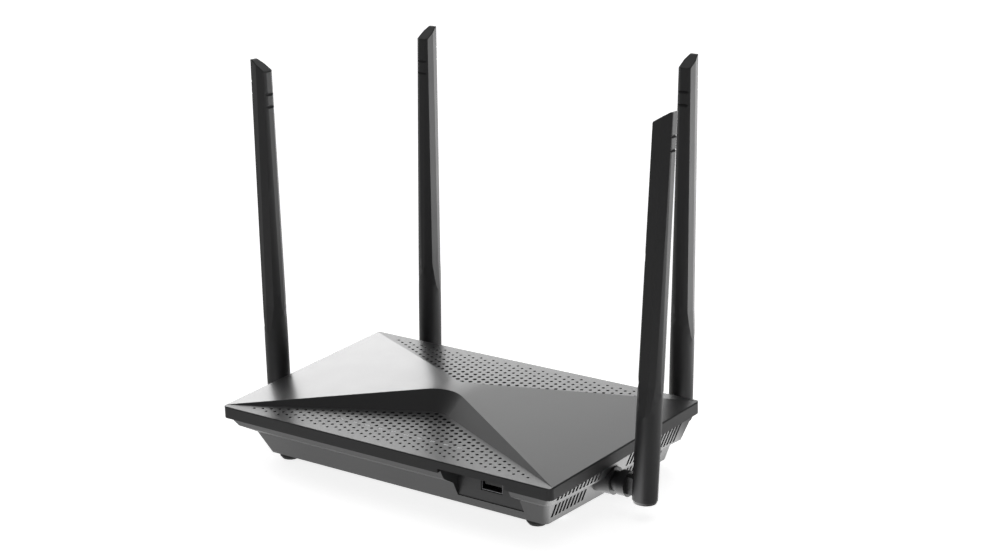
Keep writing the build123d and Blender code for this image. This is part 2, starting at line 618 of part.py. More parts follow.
with BuildPart() as bottom_case:
    add(case_outside)
    add(case_inside, mode=Mode.SUBTRACT)
    add(recess_walls.part)
    add(usb_recess, mode=Mode.SUBTRACT)
    # columns for the case screws and standoffs for the board
    with BuildSketch(level_plane(FOOT_HEIGHT + CASE_FLOOR / 2)):
        with Locations(*COLUMNS):
            Circle(COLUMN_RADIUS)
    extrude(amount=COLUMN_TOP - FOOT_HEIGHT - CASE_FLOOR / 2)
    with BuildSketch(level_plane(FOOT_HEIGHT + CASE_FLOOR / 2)):
        with Locations(*STANDOFFS):
            Circle(STANDOFF_RADIUS)
    extrude(amount=BOARD_BOTTOM - FOOT_HEIGHT - CASE_FLOOR / 2)
    # antenna bosses, with the bores that their spigots turn in
    for frame in MOUNTS.values():
        with BuildSketch(mount_section(frame, MOUNT_FACE_TO_PIVOT)):
            Circle(BOSS_RADIUS)
        extrude(amount=-(BORE_END_TO_PIVOT - MOUNT_FACE_TO_PIVOT))
    for frame in MOUNTS.values():
        with BuildSketch(mount_section(frame, 0)):
            Circle(SPIGOT_RADIUS + RUNNING_GAP)
        extrude(amount=-2 * BORE_END_TO_PIVOT, mode=Mode.SUBTRACT)
    # rear panel openings
    with BuildSketch(facing_front(HOUSING_REAR)):
        jack_middle = BOARD_TOP + JACK_HEIGHT / 2
        with Locations((WAN_X, jack_middle)):
            Rectangle(WAN_WIDTH + 2 * PANEL_GAP, JACK_HEIGHT + 2 * PANEL_GAP)
        with Locations((LAN_X, jack_middle)):
            Rectangle(LAN_WIDTH + 2 * PANEL_GAP, JACK_HEIGHT + 2 * PANEL_GAP)
        with Locations((INLET_X, BOARD_TOP + INLET_HEIGHT / 2)):
            Rectangle(INLET_WIDTH + 2 * PANEL_GAP, INLET_HEIGHT + 2 * PANEL_GAP)
        for x, radius in ((POWER_X, POWER_RADIUS), (WPS_X, WPS_RADIUS), (RESET_X, RESET_RADIUS)):
            with Locations((x, BUTTON_Z)):
                Circle(radius + BUTTON_GAP)
    extrude(amount=HOUSING_REAR - CASE_REAR + 2 * CASE_WALL, mode=Mode.SUBTRACT)
    # USB opening in the back of the recess
    with BuildSketch(facing_front(POCKET_BACK)):
        with Locations((USB_X, BOARD_TOP + USB_HEIGHT / 2)):
            Rectangle(USB_WIDTH + 2 * USB_PANEL_GAP, USB_HEIGHT + 2 * USB_PANEL_GAP)
    extrude(amount=-2 * POCKET_WALL, mode=Mode.SUBTRACT)
    # screw holes: counterbored from below in the columns, blind in the standoffs
    with BuildSketch(level_plane(0)):
        with Locations(*COLUMNS):
            Circle(CASE_SCREW_RADIUS + SCREW_GAP)
    extrude(amount=2 * COLUMN_TOP, mode=Mode.SUBTRACT)
    with BuildSketch(level_plane(0)):
        with Locations(*COLUMNS):
            Circle(CASE_SCREW_HEAD_RADIUS + SCREW_GAP)
    extrude(amount=FOOT_HEIGHT + HEAD_RECESS + CASE_SCREW_HEAD_HEIGHT, mode=Mode.SUBTRACT)
    with BuildSketch(level_plane(BOARD_BOTTOM)):
        with Locations(*STANDOFFS):
            Circle(BOARD_SCREW_RADIUS + PILOT_GAP)
    extrude(amount=-BOARD_SCREW_LENGTH, mode=Mode.SUBTRACT)
    # shallow seats that hold the rubber feet
    with BuildSketch(level_plane(FOOT_HEIGHT)):
        with Locations(*FEET):
            Circle(FOOT_PLUG_RADIUS)
    extrude(amount=FOOT_PLUG_HEIGHT, mode=Mode.SUBTRACT)
    # vent slots in both side walls
    for side in (-1, 1):
        with BuildSketch(facing_side(side * (BASE_WIDTH / 2 - CASE_WALL))):
            for y in SLOT_PLACES:
                if abs(y - SIDE_ANTENNA_Y) > SLOT_CLEAR_OF_BOSS:
                    for low, high in slot_rows(y):
                        with Locations((y, (low + high) / 2)):
                            Rectangle(SLOT_WIDTH, high - low)
        extrude(amount=side * (REAR_WIDTH - BASE_WIDTH), mode=Mode.SUBTRACT, clean=False)
save(bottom_case, "bottom_case")


# ================================================================ feet and screws
def turned(points_and_closing, places):
    """Turned pieces on upright axes; `points_and_closing` draws half of the section."""
    with BuildPart() as pieces:
        for x, y in places:
            with BuildSketch(Plane(origin=(x, BODY_Y + y, 0), x_dir=(1, 0, 0), z_dir=(0, -1, 0))):
                with BuildLine():
                    points_and_closing()
                make_face()
            revolve(axis=Axis((x, BODY_Y + y, 0), (0, 0, 1)))
    return pieces


def foot_section():
    """A rubber foot that narrows to its tread, with a plug on top."""
    top = FOOT_HEIGHT + FOOT_PLUG_HEIGHT
    Polyline(
        (0, 0), (FOOT_TREAD_RADIUS, 0), (FOOT_RADIUS, FOOT_HEIGHT / 2), (FOOT_RADIUS, FOOT_HEIGHT),
        (FOOT_PLUG_RADIUS, FOOT_HEIGHT), (FOOT_PLUG_RADIUS, top), (0, top),
        close=True,
    )


rubber_feet = turned(foot_section, FEET)
save(rubber_feet, "rubber_feet")


def screw_section(seat, head_radius, head_height, radius, length, point_up):
    """A pan-head screw whose head bears at the height `seat`."""
    way = 1 if point_up else -1

    def draw():
        Polyline(
            (0, seat - way * head_height), (head_radius, seat - way * head_height), (head_radius, seat),
            (radius, seat), (radius, seat + way * (length - radius)), (0, seat + way * length),
            close=True,
        )

    return draw


case_screws = turned(
    screw_section(FOOT_HEIGHT + HEAD_RECESS + CASE_SCREW_HEAD_HEIGHT, CASE_SCREW_HEAD_RADIUS,
                  CASE_SCREW_HEAD_HEIGHT, CASE_SCREW_RADIUS, CASE_SCREW_LENGTH, True),
    COLUMNS,
)
save(case_screws, "case_screws")

board_screws = turned(
    screw_section(BOARD_TOP, BOARD_SCREW_HEAD_RADIUS, BOARD_SCREW_HEAD_HEIGHT, BOARD_SCREW_RADIUS,
                  BOARD_SCREW_LENGTH, False),
    STANDOFFS,
)
save(board_screws, "board_screws")

# ================================================================ circuit board and what it carries
BOARD_MIDDLE = (BOARD_FRONT + BOARD_REAR) / 2

with BuildPart() as main_board:
    with BuildSketch(level_plane(BOARD_BOTTOM)):
        with Locations((0, BOARD_MIDDLE)):
            Rectangle(BOARD_WIDTH, BOARD_REAR - BOARD_FRONT)
        with Locations(*STANDOFFS):
            Circle(BOARD_SCREW_RADIUS + SCREW_GAP, mode=Mode.SUBTRACT)
    extrude(amount=BOARD_THICKNESS)
save(main_board, "main_board")


def blocks(places, length, width, height, base=BOARD_TOP):
    """Plain packages of one size that stand on the board."""
    with BuildPart() as group:
        with BuildSketch(level_plane(base)):
            with Locations(*places):
                Rectangle(length, width)
        extrude(amount=height)
    return group


processor = blocks([(PROCESSOR_X, PROCESSOR_Y)], PROCESSOR_SIZE, PROCESSOR_SIZE, PROCESSOR_HEIGHT)
save(processor, "processor")

memory_chips = blocks([(MEMORY_X, PROCESSOR_Y - MEMORY_STEP / 2), (MEMORY_X, PROCESSOR_Y + MEMORY_STEP / 2)],
                      MEMORY_LENGTH, MEMORY_WIDTH, CHIP_HEIGHT)
save(memory_chips, "memory_chips")

switch_chip = blocks([(LAN_X, SWITCH_CHIP_Y)], SWITCH_CHIP_SIZE, SWITCH_CHIP_SIZE, CHIP_HEIGHT)
save(switch_chip, "switch_chip")

TRANSFORMER_Y = JACK_FACE - JACK_DEPTH - TRANSFORMER_GAP - TRANSFORMER_WIDTH / 2
transformers = blocks([(x, TRANSFORMER_Y) for x in LAN_CENTRES + [WAN_X]],
                      TRANSFORMER_LENGTH, TRANSFORMER_WIDTH, TRANSFORMER_HEIGHT)
save(transformers, "transformers")

LEDS_Y = LIGHTS_Y + LIGHT_STEP
indicator_leds = blocks([(x, LEDS_Y) for x in LIGHTS_X], LED_LENGTH, LED_WIDTH, LED_HEIGHT)
save(indicator_leds, "indicator_leds")

with BuildPart() as capacitors:
    with BuildSketch(level_plane(BOARD_TOP)):
        with Locations(*[(CAPACITOR_X, CAPACITOR_Y + step * CAPACITOR_PITCH) for step in range(CAPACITOR_COUNT)]):
            Circle(CAPACITOR_RADIUS)
    extrude(amount=CAPACITOR_HEIGHT)
save(capacitors, "capacitors")

# tinned cans over the two radio sections, open towards the board
with BuildPart() as radio_shields:
    SHIELD_PLACES = mirrored(SHIELD_X, SHIELD_Y)
    with BuildSketch(level_plane(BOARD_TOP)):
        with Locations(*SHIELD_PLACES):
            Rectangle(SHIELD_LENGTH, SHIELD_WIDTH)
    extrude(amount=SHIELD_HEIGHT)
    with BuildSketch(level_plane(BOARD_TOP)):
        with Locations(*SHIELD_PLACES):
            Rectangle(SHIELD_LENGTH - 2 * SHIELD_SHEET, SHIELD_WIDTH - 2 * SHIELD_SHEET)
    extrude(amount=SHIELD_HEIGHT - SHIELD_SHEET, mode=Mode.SUBTRACT)
save(radio_shields, "radio_shields")

# finned heat sink that stands on the processor
with BuildPart() as heat_sink:
    SINK_BASE = BOARD_TOP + PROCESSOR_HEIGHT
    with BuildSketch(level_plane(SINK_BASE)):
        with Locations((PROCESSOR_X, PROCESSOR_Y)):
            Rectangle(SINK_SIZE, SINK_SIZE)
    extrude(amount=SINK_PLATE)
    with BuildSketch(level_plane(SINK_BASE + SINK_PLATE)):
        with Locations((PROCESSOR_X, PROCESSOR_Y)):
            with GridLocations((SINK_SIZE - FIN_THICKNESS) / (FIN_COUNT - 1), 0, FIN_COUNT, 1):
                Rectangle(FIN_THICKNESS, SINK_SIZE)
    extrude(amount=FIN_HEIGHT)
save(heat_sink, "heat_sink")

# clear moulding: legs over the lamps, a bar under the cover and ten flush windows
with BuildPart() as light_guide:
    LEG_BOTTOM = BOARD_TOP + LED_HEIGHT + GUIDE_GAP
    LEG_TOP = height_on(COVER_PLANE, LEDS_Y) - COVER_ROOF - GUIDE_BAR / 2
    with BuildSketch(COVER_PLANE.offset(-COVER_ROOF)):
        with Locations((0, (LIGHTS_Y + LEDS_Y) / 2)):
            Rectangle(LIGHTS_X[-1] - LIGHTS_X[0] + LIGHT_LENGTH, LIGHT_STEP + LIGHT_WIDTH)
    extrude(amount=-GUIDE_BAR)
    with BuildSketch(level_plane(LEG_BOTTOM)):
        with Locations(*[(x, LEDS_Y) for x in LIGHTS_X]):
            Rectangle(LIGHT_WIDTH, LIGHT_WIDTH)
    extrude(amount=LEG_TOP - LEG_BOTTOM)
    with BuildSketch(COVER_PLANE):
        with Locations(*[(x, LIGHTS_Y) for x in LIGHTS_X]):
            Rectangle(LIGHT_LENGTH, LIGHT_WIDTH)
    extrude(amount=-COVER_ROOF - GUIDE_BAR / 2)
save(light_guide, "light_guide")

# ================================================================ connectors


def network_jack(centres, middle, width):
    """A block of RJ45 sockets that open to the back, each with its latch groove below."""
    mouth_middle = BOARD_TOP + JACK_MOUTH_BOTTOM + JACK_MOUTH_HEIGHT / 2
    with BuildPart() as jack:
        with BuildSketch(facing_front(JACK_FACE)):
            with Locations((middle, BOARD_TOP + JACK_HEIGHT / 2)):
                Rectangle(width, JACK_HEIGHT)
        extrude(amount=JACK_DEPTH)
        with BuildSketch(facing_front(JACK_FACE)):
            with Locations(*[(x, mouth_middle) for x in centres]):
                Rectangle(JACK_MOUTH_WIDTH, JACK_MOUTH_HEIGHT)
            with Locations(*[(x, BOARD_TOP + JACK_MOUTH_BOTTOM) for x in centres]):
                Rectangle(LATCH_WIDTH, 2 * LATCH_DEPTH)
        extrude(amount=JACK_MOUTH_DEPTH, mode=Mode.SUBTRACT)
    return jack


wan_jack = network_jack([WAN_X], WAN_X, WAN_WIDTH)
save(wan_jack, "wan_jack")

lan_jacks = network_jack(LAN_CENTRES, LAN_X, LAN_WIDTH)
save(lan_jacks, "lan_jacks")

with BuildPart() as power_inlet:
    INLET_MIDDLE = BOARD_TOP + INLET_HEIGHT / 2
    with BuildSketch(facing_front(JACK_FACE)):
        with Locations((INLET_X, INLET_MIDDLE)):
            Rectangle(INLET_WIDTH, INLET_HEIGHT)
    extrude(amount=INLET_DEPTH)
    with BuildSketch(facing_front(JACK_FACE)):
        with Locations((INLET_X, INLET_MIDDLE)):
            Circle(INLET_BORE_RADIUS)
            Circle(INLET_PIN_RADIUS, mode=Mode.SUBTRACT)
    extrude(amount=INLET_BORE_DEPTH, mode=Mode.SUBTRACT)
    with BuildSketch(facing_front(JACK_FACE)):
        with Locations((INLET_X, INLET_MIDDLE)):
            Circle(INLET_BORE_RADIUS)
    extrude(amount=INLET_BORE_DEPTH - INLET_PIN_LENGTH, mode=Mode.SUBTRACT)
save(power_inlet, "power_inlet")

with BuildPart() as usb_socket:
    USB_MIDDLE = BOARD_TOP + USB_HEIGHT / 2
    with BuildSketch(facing_front(POCKET_BACK + USB_SET_BACK)):
        with Locations((USB_X, USB_MIDDLE)):
            Rectangle(USB_WIDTH, USB_HEIGHT)
    extrude(amount=-USB_DEPTH)
    with BuildSketch(facing_front(POCKET_BACK + USB_SET_BACK)):
        with Locations((USB_X, USB_MIDDLE)):
            Rectangle(USB_WIDTH - 2 * USB_SHEET, USB_HEIGHT - 2 * USB_SHEET)
        with Locations((USB_X, USB_MIDDLE + USB_TONGUE_RAISE)):
            Rectangle(USB_TONGUE_WIDTH, USB_TONGUE_THICKNESS, mode=Mode.SUBTRACT)
    extrude(amount=-USB_CAVITY, mode=Mode.SUBTRACT)
    with BuildSketch(facing_front(POCKET_BACK + USB_SET_BACK)):
        with Locations((USB_X, USB_MIDDLE)):
            Rectangle(USB_WIDTH - 2 * USB_SHEET, USB_HEIGHT - 2 * USB_SHEET)
    extrude(amount=-USB_TONGUE_SET_BACK, mode=Mode.SUBTRACT)
save(usb_socket, "usb_socket")

# ================================================================ buttons and their switches
WALL_INSIDE = CASE_REAR - CASE_WALL
FLANGE_FACE = WALL_INSIDE - BUTTON_GAP
FLANGE_BACK = FLANGE_FACE - BUTTON_FLANGE_THICKNESS


def push_button(x, radius, proud, switch_face):
    """A cap with a retaining flange behind the wall and a stem that enters its switch."""
    with BuildPart() as button:
        with BuildSketch(facing_front(FLANGE_BACK)):
            with Locations((x, BUTTON_Z)):
                Circle(radius + BUTTON_FLANGE)
        extrude(amount=-BUTTON_FLANGE_THICKNESS)
        with BuildSketch(facing_front(FLANGE_FACE)):
            with Locations((x, BUTTON_Z)):
                Circle(radius)
        extrude(amount=-(CASE_REAR + proud - FLANGE_FACE))
        rim = button.edges().filter_by(GeomType.CIRCLE).sort_by(Axis.Y)[-1]
        chamfer(rim, BUTTON_EDGE)
        with BuildSketch(facing_front(FLANGE_BACK)):
            with Locations((x, BUTTON_Z)):
                Rectangle(SWITCH_STEM, SWITCH_STEM)
        extrude(amount=FLANGE_BACK - switch_face + STEM_ENTRY)
    return button


def switch_body(x, width, depth, face):
    """A switch on the board with the socket that the button's stem slides in."""
    top = BUTTON_Z + width / 2
    with BuildPart() as switch:
        with BuildSketch(facing_front(face)):
            with Locations((x, (BOARD_TOP + top) / 2)):
                Rectangle(width, top - BOARD_TOP)
        extrude(amount=depth)
        with BuildSketch(facing_front(face)):
            with Locations((x, BUTTON_Z)):
                Rectangle(SWITCH_STEM + 2 * SWITCH_STEM_GAP, SWITCH_STEM + 2 * SWITCH_STEM_GAP)
        extrude(amount=depth - SWITCH_BACK, mode=Mode.SUBTRACT)
    return switch


POWER_SWITCH_FACE = FLANGE_BACK - POWER_TRAVEL - BUTTON_GAP
WPS_SWITCH_FACE = FLANGE_BACK - WPS_TRAVEL - BUTTON_GAP
RESET_SWITCH_FACE = FLANGE_BACK - RESET_TRAVEL - BUTTON_GAP

power_button = push_button(POWER_X, POWER_RADIUS, POWER_PROUD, POWER_SWITCH_FACE)
save(power_button, "power_button")
power_switch = switch_body(POWER_X, SWITCH_SIZE, SWITCH_DEPTH, POWER_SWITCH_FACE)
save(power_switch, "power_switch")
wps_button = push_button(WPS_X, WPS_RADIUS, WPS_PROUD, WPS_SWITCH_FACE)
save(wps_button, "wps_button")
wps_switch = switch_body(WPS_X, TACT_SIZE, TACT_DEPTH, WPS_SWITCH_FACE)
save(wps_switch, "wps_switch")
reset_button = push_button(RESET_X, RESET_RADIUS, -RESET_SUNK, RESET_SWITCH_FACE)
save(reset_button, "reset_button")
reset_switch = switch_body(RESET_X, TACT_SIZE, TACT_DEPTH, RESET_SWITCH_FACE)
save(reset_switch, "reset_switch")


# ================================================================ antennas
def swivel(frame):
    """Turned spigot, neck and collar, with the flat tongue that the antenna hinges on."""
    collar_back = -COLLAR_TO_PIVOT - COLLAR_LENGTH
    neck_back = collar_back - NECK_LENGTH
    spigot_back = neck_back - SPIGOT_LENGTH
    with BuildPart() as piece:
        with BuildSketch(side_view(frame)):
            with BuildLine():
                Polyline(
                    (-COLLAR_TO_PIVOT, 0), (-COLLAR_TO_PIVOT, COLLAR_RADIUS), (collar_back, COLLAR_RADIUS),
                    (collar_back, NECK_RADIUS), (neck_back, NECK_RADIUS), (neck_back, SPIGOT_RADIUS),
                    (spigot_back, SPIGOT_RADIUS), (spigot_back, CATCH_RADIUS),
                    (spigot_back - CATCH_LENGTH, CATCH_RADIUS), (spigot_back - CATCH_LENGTH, 0),
                    close=True,
                )
            make_face()
        revolve(axis=Axis(frame.origin, frame.x_dir))
        with BuildSketch(side_view(frame)):
            Circle(TONGUE_RADIUS)
            with Locations((-COLLAR_TO_PIVOT / 2, 0)):
                Rectangle(COLLAR_TO_PIVOT + COLLAR_LENGTH / 2, 2 * TONGUE_RADIUS)
        extrude(amount=TONGUE_THICKNESS / 2, both=True)
        with BuildSketch(side_view(frame)):
            Circle(HINGE_PIN_RADIUS + RUNNING_GAP)
        extrude(amount=TONGUE_THICKNESS, both=True, mode=Mode.SUBTRACT)
    return piece


def hinge_pin(blade):
    """The steel pin, pressed into the antenna's cheeks."""
    with BuildPart() as pin:
        with BuildSketch(side_view(blade)):
            Circle(HINGE_PIN_RADIUS)
        extrude(amount=HINGE_PIN_LENGTH / 2, both=True)
    return pin


def blade_side(blade, turn, foot, tip):
    """The space inside one flat of the blade, which faces `turn` degrees round from its outer edge.

    The flat leaves the round rod at ROD_TOP; it is `foot` from the axis at BLADE_FOOT, `tip` at the tip.
    """
    angle = math.radians(turn)
    across = blade.x_dir * math.cos(angle) + blade.y_dir * math.sin(angle)
    clear = ROD_RADIUS + TURNING_GAP
    with BuildPart() as space:
        with BuildSketch(Plane(origin=blade.origin, x_dir=across, z_dir=across.cross(blade.z_dir))):
            with BuildLine():
                Polyline(
                    (-2 * clear, -PIVOT_ABOVE_END), (clear, -PIVOT_ABOVE_END), (clear, ROD_TOP),
                    (foot, BLADE_FOOT), (tip, ANTENNA_TIP), (-2 * clear, ANTENNA_TIP),
                    close=True,
                )
            make_face()
        extrude(amount=2 * clear, both=True)
    return space.part


def antenna(blade, pin_side):
    """The moulded antenna: round rod, flattened blade with a thinner outer edge, slanted tip, hinge slot."""
    half_tip = BLADE_TIP_WIDTH / 2
    tip_slope = CHISEL_DROP / BLADE_TIP_WIDTH
    taper = (BLADE_FOOT_WIDTH - BLADE_TIP_WIDTH) / 2 / (ANTENNA_TIP - BLADE_FOOT)
    room = TONGUE_RADIUS + TONGUE_GAP
    flats = [(side, BLADE_FOOT_WIDTH / 2, half_tip) for side in (0, 180)]
    flats += [(side, BLADE_FOOT_THICKNESS / 2, BLADE_TIP_THICKNESS / 2) for side in (90, -90)]
    flats += [(side * (90 - EDGE_ANGLE), EDGE_FOOT, EDGE_TIP) for side in (1, -1)]
    with BuildPart() as shell:
        with BuildSketch(side_view(blade)):
            with BuildLine():
                Polyline(
                    (0, -PIVOT_ABOVE_END), (ROD_RADIUS - ROD_END_ROUND, -PIVOT_ABOVE_END),
                    (ROD_RADIUS - ROD_END_ROUND / 4, ROD_END_ROUND / 3 - PIVOT_ABOVE_END),
                    (ROD_RADIUS, ROD_END_ROUND - PIVOT_ABOVE_END), (ROD_RADIUS, ROD_TOP),
                    (ROD_TIP_RADIUS, ANTENNA_TIP), (0, ANTENNA_TIP),
                    close=True,
                )
            make_face()
        revolve(axis=Axis(blade.origin, blade.z_dir))
        for flat in flats:
            add(blade_side(blade, *flat), mode=Mode.INTERSECT)
        # slanted tip with softened edges
        with BuildSketch(side_view(blade)):
            with BuildLine():
                Polyline(
                    (half_tip - TIP_FLAT, ANTENNA_TIP), (-half_tip - TIP_FLAT, ANTENNA_TIP - CHISEL_DROP),
                    (-half_tip - TIP_FLAT, ANTENNA_TIP),
                    close=True,
                )
            make_face()
        extrude(amount=2 * ROD_RADIUS, both=True, mode=Mode.SUBTRACT)
        chamfer(shell.faces().sort_by(Axis(blade.origin, blade.z_dir))[-2].edges(), CHISEL_EDGE)
        # the end turns past the collar, so its inner corner is round about the pivot
        with BuildSketch(side_view(blade)):
            with Locations((-2 * ROD_RADIUS, -2 * ROD_RADIUS)):
                Rectangle(4 * ROD_RADIUS, 4 * ROD_RADIUS)
            Circle(PIVOT_ABOVE_END, mode=Mode.SUBTRACT)
        extrude(amount=2 * ROD_RADIUS, both=True, mode=Mode.SUBTRACT)
        # slot for the tongue, open towards the housing and downwards
        with BuildSketch(side_view(blade)):
            Circle(room)
            with Locations((-2 * ROD_RADIUS, room)):
                Rectangle(2 * ROD_RADIUS, 2 * ROD_RADIUS + room, align=(Align.MIN, Align.MAX))
            with Locations((-2 * ROD_RADIUS, 0)):
                Rectangle(2 * ROD_RADIUS + room, 2 * ROD_RADIUS, align=(Align.MIN, Align.MAX))
        extrude(amount=TONGUE_THICKNESS / 2 + TONGUE_GAP, both=True, mode=Mode.SUBTRACT)
        # blind bore for the hinge pin, open on the side that the pin goes in from
        with BuildSketch(side_view(blade).offset(-pin_side * HINGE_PIN_LENGTH / 2)):
            Circle(HINGE_PIN_RADIUS)
        extrude(amount=pin_side * 2 * ROD_RADIUS, mode=Mode.SUBTRACT)
        # two shallow notches on each narrow edge, in line with the slant
        with BuildSketch(side_view(blade)):
            for step in (0, 1):
                for side in (-1, 1):
                    drop = NOTCH_BELOW_TIP + step * NOTCH_PITCH + (CHISEL_DROP if side < 0 else 0)
                    edge = side * (half_tip + drop * taper)
                    with BuildLine():
                        Polyline(
                            (edge, ANTENNA_TIP - drop + NOTCH_HEIGHT / 2),
                            (edge - side * NOTCH_DEPTH, ANTENNA_TIP - drop),
                            (edge, ANTENNA_TIP - drop - NOTCH_HEIGHT / 2),
                            (edge + side, ANTENNA_TIP - drop),
                            close=True,
                        )
                    make_face()
        extrude(amount=2 * ROD_RADIUS, both=True, mode=Mode.SUBTRACT)
        # hollow for the radiator and a channel for its lead
        with BuildSketch(blade.offset(RADIATOR_START)):
            Rectangle(RADIATOR_WIDTH, RADIATOR_THICKNESS + 2 * RADIATOR_GAP)
        extrude(amount=RADIATOR_LENGTH + RADIATOR_GAP, mode=Mode.SUBTRACT)
        with BuildSketch(blade):
            Circle(LEAD_DIAMETER / 2 + LEAD_GAP)
        extrude(amount=RADIATOR_START, mode=Mode.SUBTRACT)
    return shell


def radiator(blade):
    """The radiating strip, fed by a short lead that ends above the hinge."""
    with BuildPart() as strip:
        with BuildSketch(blade.offset(RADIATOR_START)):
            Rectangle(RADIATOR_WIDTH, RADIATOR_THICKNESS)
        extrude(amount=RADIATOR_LENGTH)
        with BuildSketch(blade.offset(TONGUE_RADIUS + 2 * TONGUE_GAP)):
            Circle(LEAD_DIAMETER / 2)
        extrude(amount=RADIATOR_START - TONGUE_RADIUS - 2 * TONGUE_GAP)
    return strip


for name, mount in MOUNTS.items():
    blade = leaned(mount, LEANS[name])
    save(swivel(mount), f"{name}_swivel")
    save(hinge_pin(blade), f"{name}_hinge_pin")
    save(antenna(blade, PIN_SIDES[name]), f"{name}_antenna")
    save(radiator(blade), f"{name}_radiator")
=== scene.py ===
"""Looks of the wireless router: finishes, small contact parts, studio and camera.

Metres, +Z up, +X to the router's right as seen from its front, +Y to its back.
"""
import json
import math
from collections import Counter

import bmesh
import bpy
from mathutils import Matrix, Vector
from mathutils.geometry import delaunay_2d_cdt

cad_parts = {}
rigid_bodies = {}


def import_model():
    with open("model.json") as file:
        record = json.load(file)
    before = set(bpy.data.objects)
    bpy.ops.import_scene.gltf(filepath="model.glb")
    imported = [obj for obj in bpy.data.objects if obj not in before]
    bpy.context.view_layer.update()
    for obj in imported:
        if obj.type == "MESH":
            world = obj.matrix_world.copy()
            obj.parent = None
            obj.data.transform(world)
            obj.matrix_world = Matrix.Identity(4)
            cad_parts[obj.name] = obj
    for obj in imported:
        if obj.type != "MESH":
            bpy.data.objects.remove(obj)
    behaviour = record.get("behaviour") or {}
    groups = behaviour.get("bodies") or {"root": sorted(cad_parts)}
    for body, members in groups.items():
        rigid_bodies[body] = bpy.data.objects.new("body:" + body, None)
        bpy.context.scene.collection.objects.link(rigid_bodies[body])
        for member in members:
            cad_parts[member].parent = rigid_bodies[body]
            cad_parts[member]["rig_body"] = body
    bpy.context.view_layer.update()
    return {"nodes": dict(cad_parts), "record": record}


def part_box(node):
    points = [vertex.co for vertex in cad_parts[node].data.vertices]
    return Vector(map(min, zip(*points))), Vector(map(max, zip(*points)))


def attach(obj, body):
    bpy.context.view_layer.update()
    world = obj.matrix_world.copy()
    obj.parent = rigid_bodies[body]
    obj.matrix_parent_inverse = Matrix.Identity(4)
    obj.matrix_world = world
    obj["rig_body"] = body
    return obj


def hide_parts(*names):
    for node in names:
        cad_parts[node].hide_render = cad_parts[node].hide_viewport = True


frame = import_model()
nodes = frame["nodes"]

MM = 0.001
SOFT_EDGE = 0.05 * MM


# ================================================================ shader expressions
class Value:
    """A socket of a shader graph that takes part in arithmetic."""

    def __init__(self, graph, socket):
        self.graph = graph
        self.socket = socket

    def _math(self, operation, *terms, clamp=False):
        return self.graph.node("ShaderNodeMath", {"operation": operation, "use_clamp": clamp}, *terms)

    def __add__(self, other):
        return self._math("ADD", self, other)

    def __radd__(self, other):
        return self._math("ADD", other, self)

    def __sub__(self, other):
        return self._math("SUBTRACT", self, other)

    def __rsub__(self, other):
        return self._math("SUBTRACT", other, self)

    def __mul__(self, other):
        return self._math("MULTIPLY", self, other)

    def __rmul__(self, other):
        return self._math("MULTIPLY", other, self)

    def __truediv__(self, other):
        return self._math("DIVIDE", self, other)

    def __pow__(self, other):
        return self._math("POWER", self, other)

    def clamped(self):
        return self._math("ADD", self, 0.0, clamp=True)

    def size(self):
        return self._math("ABSOLUTE", self)

    def larger(self, other):
        return self._math("MAXIMUM", self, other)


class Finish:
    """A material and its shader graph."""

    def __init__(self, name):
        self.material = bpy.data.materials.new(name)
        self.material.use_nodes = True
        self.tree = self.material.node_tree
        self.tree.nodes.clear()
        self.output = self.tree.nodes.new("ShaderNodeOutputMaterial")

    def node(self, kind, settings=None, *values, out=0, **named):
        """Adds a node: first its settings, then its sockets by order or by name."""
        node = self.tree.nodes.new(kind)
        for key, setting in (settings or {}).items():
            if key == "stops":
                set_stops(node.color_ramp, setting)
            else:
                setattr(node, key, setting)
        pairs = list(zip(node.inputs, values))
        pairs += [(named_socket(node.inputs, key), value) for key, value in named.items()]
        for socket, value in pairs:
            if isinstance(value, Value):
                self.tree.links.new(value.socket, socket)
            elif value is not None:
                socket.default_value = value
        sockets = node.outputs
        return Value(self, named_socket(sockets, out) if isinstance(out, str) else sockets[out])

    def place(self):
        """The point on the object, in metres."""
        return self.node("ShaderNodeTexCoord", None, out="Object")

    def along(self, axis):
        """One coordinate of the point, in metres."""
        return self.node("ShaderNodeSeparateXYZ", None, self.place(), out=axis)

    def noise(self, size, detail=2.0, roughness=0.5, stretch=(1, 1, 1)):
        """A cloud pattern whose patches are about `size` metres across."""
        scaled = self.node(
            "ShaderNodeVectorMath", {"operation": "MULTIPLY"}, self.place(), tuple(share / size for share in stretch)
        )
        return self.node(
            "ShaderNodeTexNoise", None, Vector=scaled, Scale=1.0, Detail=detail, Roughness=roughness, out="Fac"
        )

    def within(self, axis, lowest, highest, soft=SOFT_EDGE):
        """One between two heights along an axis, zero outside."""
        spot = self.along(axis)
        return ((spot - lowest) / soft).clamped() * ((highest - spot) / soft).clamped()

    def facing_up(self):
        """One where the surface faces up, falling to zero on upright faces."""
        normal = self.node("ShaderNodeNewGeometry", None, out="True Normal")
        height = self.node("ShaderNodeSeparateXYZ", None, normal, out="Z")
        return (height * 2.0).clamped()

    def blend(self, share, first, second):
        """A colour between two colours."""
        return self.node(
            "ShaderNodeMix", {"data_type": "RGBA"}, out="Result:RGBA",
            **{"Factor:VALUE": share, "A:RGBA": first, "B:RGBA": second},
        )

    def bump(self, height, depth, strength=1.0):
        """A normal that follows `height`, `depth` metres deep."""
        return self.node("ShaderNodeBump", None, Strength=strength, Distance=depth, Height=height, out="Normal")

    def surface(self, **sockets):
        """The principled shader, wired to the output."""
        keys = {key.replace("_", " "): value for key, value in sockets.items()}
        shader = self.node("ShaderNodeBsdfPrincipled", None, **keys)
        self.tree.links.new(shader.socket, self.output.inputs["Surface"])
        return self.material


